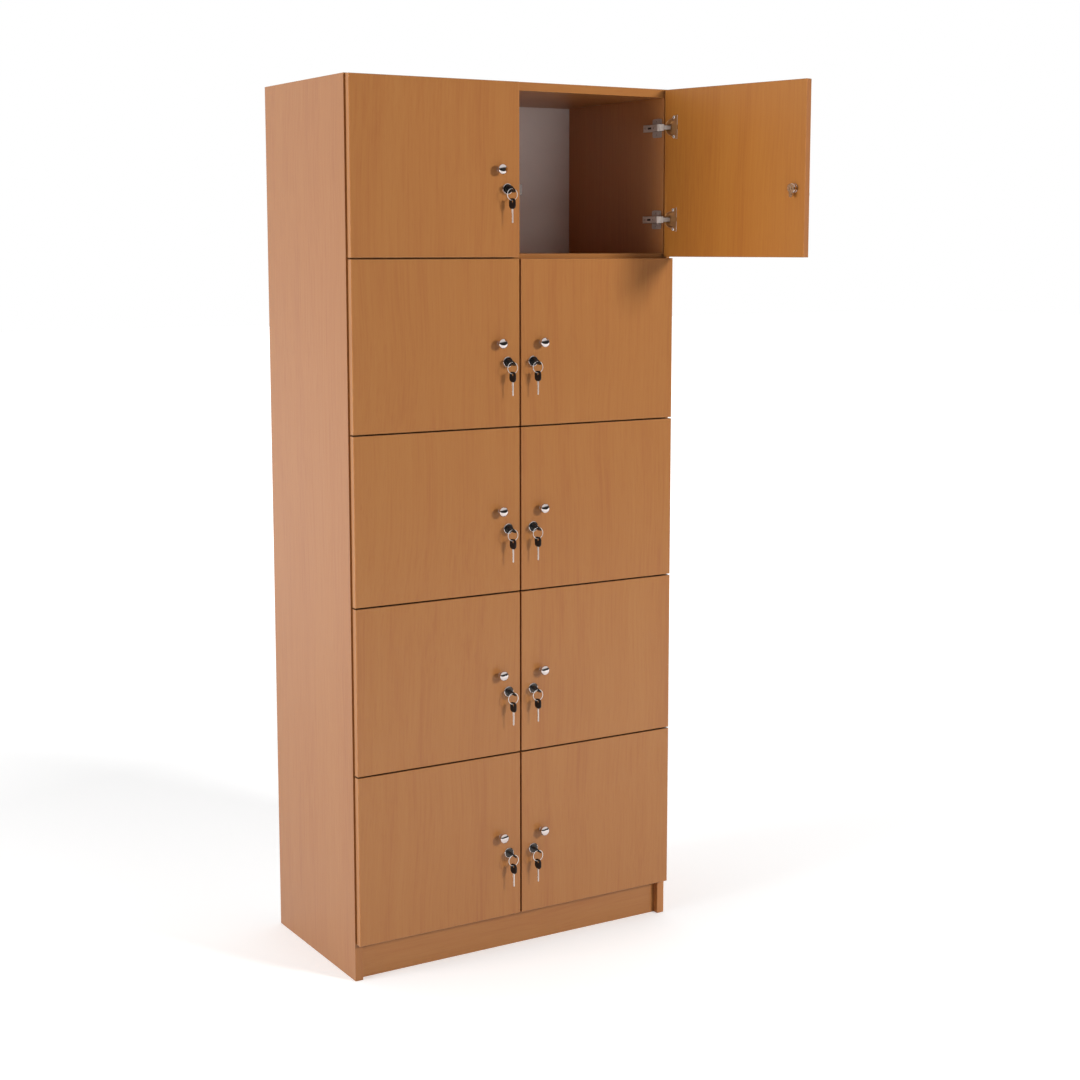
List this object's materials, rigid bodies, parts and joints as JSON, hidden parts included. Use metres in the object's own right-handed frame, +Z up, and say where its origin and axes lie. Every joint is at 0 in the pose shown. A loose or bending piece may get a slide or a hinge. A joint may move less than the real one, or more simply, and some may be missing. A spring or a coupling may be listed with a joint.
{
  "type": "compartment cabinet",
  "caption": "Tall free-standing wooden cabinet with two columns of lockable compartments behind hinged doors, each with a mushroom knob, a cylinder lock and a key on a ring.",
  "frame": {"origin": "centre of the carcass's footprint on the floor, at the bottom of the rail under the partition", "axes": "+Z up, +X to the right seen from the front, +Y to the back, so the doors face -Y"},
  "size_m": [0.9043, 0.7924, 1.9],
  "materials": {
    "cabinet_board": "beech foil on particle board, satin",
    "door_board": "beech foil on particle board, satin",
    "back_board": "grey hardboard",
    "hinge_steel": "nickel-plated",
    "polished_metal": "chrome-plated",
    "key_plastic": "moulded",
    "ring_steel": "nickel-plated"
  },
  "bodies": {
    "cabinet": {"side_left": "cabinet_board", "side_right": "cabinet_board", "partition": "cabinet_board", "top_panel": "cabinet_board", "bottom_panel": "cabinet_board", "back_panel": "back_board", "plinth_front": "cabinet_board", "plinth_rear": "cabinet_board", "plinth_centre_rail": "cabinet_board", "shelf_left_1": "cabinet_board", "shelf_left_2": "cabinet_board", "shelf_left_3": "cabinet_board", "shelf_left_4": "cabinet_board", "shelf_right_1": "cabinet_board", "shelf_right_2": "cabinet_board", "shelf_right_3": "cabinet_board", "shelf_right_4": "cabinet_board", "hinge_arms": "hinge_steel", "hinge_plates": "hinge_steel", "lock_catches": "hinge_steel"},
    "left_1_door": {"door_left_1": "door_board", "door_fittings_left_1": "polished_metal"},
    "left_1_key": {"lock_key_left_1": "key_plastic"},
    "left_1_ring": {"key_ring_left_1": "ring_steel"},
    "left_2_door": {"door_left_2": "door_board", "door_fittings_left_2": "polished_metal"},
    "left_2_key": {"lock_key_left_2": "key_plastic"},
    "left_2_ring": {"key_ring_left_2": "ring_steel"},
    "left_3_door": {"door_left_3": "door_board", "door_fittings_left_3": "polished_metal"},
    "left_3_key": {"lock_key_left_3": "key_plastic"},
    "left_3_ring": {"key_ring_left_3": "ring_steel"},
    "left_4_door": {"door_left_4": "door_board", "door_fittings_left_4": "polished_metal"},
    "left_4_key": {"lock_key_left_4": "key_plastic"},
    "left_4_ring": {"key_ring_left_4": "ring_steel"},
    "left_5_door": {"door_left_5": "door_board", "door_fittings_left_5": "polished_metal"},
    "left_5_key": {"lock_key_left_5": "key_plastic"},
    "left_5_ring": {"key_ring_left_5": "ring_steel"},
    "right_1_door": {"door_right_1": "door_board", "door_fittings_right_1": "polished_metal"},
    "right_1_key": {"lock_key_right_1": "key_plastic"},
    "right_1_ring": {"key_ring_right_1": "ring_steel"},
    "right_2_door": {"door_right_2": "door_board", "door_fittings_right_2": "polished_metal"},
    "right_2_key": {"lock_key_right_2": "key_plastic"},
    "right_2_ring": {"key_ring_right_2": "ring_steel"},
    "right_3_door": {"door_right_3": "door_board", "door_fittings_right_3": "polished_metal"},
    "right_3_key": {"lock_key_right_3": "key_plastic"},
    "right_3_ring": {"key_ring_right_3": "ring_steel"},
    "right_4_door": {"door_right_4": "door_board", "door_fittings_right_4": "polished_metal"},
    "right_4_key": {"lock_key_right_4": "key_plastic"},
    "right_4_ring": {"key_ring_right_4": "ring_steel"},
    "right_5_door": {"door_right_5": "door_board", "door_fittings_right_5": "polished_metal"},
    "right_5_key": {"lock_key_right_5": "key_plastic"},
    "right_5_ring": {"key_ring_right_5": "ring_steel"}
  },
  "joints": [
    {"name": "hinge_left_1", "type": "hinge", "parent": "cabinet", "child": "left_1_door", "pos_m": [-0.39005, -0.21165, 1.7155], "axis": [0, 0, -1], "range_deg": [0, 105]},
    {"name": "lock_left_1", "type": "hinge", "parent": "left_1_door", "child": "left_1_key", "pos_m": [-0.0314, -0.21, 1.6755], "axis": [0, 1, 0], "range_deg": [0, 90]},
    {"name": "ring_left_1", "type": "hinge", "parent": "left_1_door", "child": "left_1_ring", "pos_m": [-0.0314, -0.2388, 1.6755], "axis": [0, 1, 0], "range_deg": [-8, 8]},
    {"name": "hinge_left_2", "type": "hinge", "parent": "cabinet", "child": "left_2_door", "pos_m": [-0.39005, -0.21165, 1.351], "axis": [0, 0, -1], "range_deg": [0, 105]},
    {"name": "lock_left_2", "type": "hinge", "parent": "left_2_door", "child": "left_2_key", "pos_m": [-0.0314, -0.21, 1.311], "axis": [0, 1, 0], "range_deg": [0, 90]},
    {"name": "ring_left_2", "type": "hinge", "parent": "left_2_door", "child": "left_2_ring", "pos_m": [-0.0314, -0.2388, 1.311], "axis": [0, 1, 0], "range_deg": [-8, 8]},
    {"name": "hinge_left_3", "type": "hinge", "parent": "cabinet", "child": "left_3_door", "pos_m": [-0.39005, -0.21165, 0.991], "axis": [0, 0, -1], "range_deg": [0, 105]},
    {"name": "lock_left_3", "type": "hinge", "parent": "left_3_door", "child": "left_3_key", "pos_m": [-0.0314, -0.21, 0.951], "axis": [0, 1, 0], "range_deg": [0, 90]},
    {"name": "ring_left_3", "type": "hinge", "parent": "left_3_door", "child": "left_3_ring", "pos_m": [-0.0314, -0.2388, 0.951], "axis": [0, 1, 0], "range_deg": [-8, 8]},
    {"name": "hinge_left_4", "type": "hinge", "parent": "cabinet", "child": "left_4_door", "pos_m": [-0.39005, -0.21165, 0.631], "axis": [0, 0, -1], "range_deg": [0, 105]},
    {"name": "lock_left_4", "type": "hinge", "parent": "left_4_door", "child": "left_4_key", "pos_m": [-0.0314, -0.21, 0.591], "axis": [0, 1, 0], "range_deg": [0, 90]},
    {"name": "ring_left_4", "type": "hinge", "parent": "left_4_door", "child": "left_4_ring", "pos_m": [-0.0314, -0.2388, 0.591], "axis": [0, 1, 0], "range_deg": [-8, 8]},
    {"name": "hinge_left_5", "type": "hinge", "parent": "cabinet", "child": "left_5_door", "pos_m": [-0.39005, -0.21165, 0.26575], "axis": [0, 0, -1], "range_deg": [0, 105]},
    {"name": "lock_left_5", "type": "hinge", "parent": "left_5_door", "child": "left_5_key", "pos_m": [-0.0314, -0.21, 0.22575], "axis": [0, 1, 0], "range_deg": [0, 90]},
    {"name": "ring_left_5", "type": "hinge", "parent": "left_5_door", "child": "left_5_ring", "pos_m": [-0.0314, -0.2388, 0.22575], "axis": [0, 1, 0], "range_deg": [-8, 8]},
    {"name": "hinge_right_1", "type": "hinge", "parent": "cabinet", "child": "right_1_door", "pos_m": [0.39005, -0.21165, 1.7155], "axis": [0, 0, 1], "range_deg": [-102.5, 2.5]},
    {"name": "lock_right_1", "type": "hinge", "parent": "right_1_door", "child": "right_1_key", "pos_m": [0.46607, -0.56216, 1.6755], "axis": [-0.9763, -0.2164, 0], "range_deg": [0, 90]},
    {"name": "ring_right_1", "type": "hinge", "parent": "right_1_door", "child": "right_1_ring", "pos_m": [0.49419, -0.55593, 1.6755], "axis": [-0.9763, -0.2164, 0], "range_deg": [-8, 8]},
    {"name": "hinge_right_2", "type": "hinge", "parent": "cabinet", "child": "right_2_door", "pos_m": [0.39005, -0.21165, 1.351], "axis": [0, 0, 1], "range_deg": [0, 105]},
    {"name": "lock_right_2", "type": "hinge", "parent": "right_2_door", "child": "right_2_key", "pos_m": [0.0314, -0.21, 1.311], "axis": [0, 1, 0], "range_deg": [0, 90]},
    {"name": "ring_right_2", "type": "hinge", "parent": "right_2_door", "child": "right_2_ring", "pos_m": [0.0314, -0.2388, 1.311], "axis": [0, 1, 0], "range_deg": [-8, 8]},
    {"name": "hinge_right_3", "type": "hinge", "parent": "cabinet", "child": "right_3_door", "pos_m": [0.39005, -0.21165, 0.991], "axis": [0, 0, 1], "range_deg": [0, 105]},
    {"name": "lock_right_3", "type": "hinge", "parent": "right_3_door", "child": "right_3_key", "pos_m": [0.0314, -0.21, 0.951], "axis": [0, 1, 0], "range_deg": [0, 90]},
    {"name": "ring_right_3", "type": "hinge", "parent": "right_3_door", "child": "right_3_ring", "pos_m": [0.0314, -0.2388, 0.951], "axis": [0, 1, 0], "range_deg": [-8, 8]},
    {"name": "hinge_right_4", "type": "hinge", "parent": "cabinet", "child": "right_4_door", "pos_m": [0.39005, -0.21165, 0.631], "axis": [0, 0, 1], "range_deg": [0, 105]},
    {"name": "lock_right_4", "type": "hinge", "parent": "right_4_door", "child": "right_4_key", "pos_m": [0.0314, -0.21, 0.591], "axis": [0, 1, 0], "range_deg": [0, 90]},
    {"name": "ring_right_4", "type": "hinge", "parent": "right_4_door", "child": "right_4_ring", "pos_m": [0.0314, -0.2388, 0.591], "axis": [0, 1, 0], "range_deg": [-8, 8]},
    {"name": "hinge_right_5", "type": "hinge", "parent": "cabinet", "child": "right_5_door", "pos_m": [0.39005, -0.21165, 0.26575], "axis": [0, 0, 1], "range_deg": [0, 105]},
    {"name": "lock_right_5", "type": "hinge", "parent": "right_5_door", "child": "right_5_key", "pos_m": [0.0314, -0.21, 0.22575], "axis": [0, 1, 0], "range_deg": [0, 90]},
    {"name": "ring_right_5", "type": "hinge", "parent": "right_5_door", "child": "right_5_ring", "pos_m": [0.0314, -0.2388, 0.22575], "axis": [0, 1, 0], "range_deg": [-8, 8]}
  ]
}
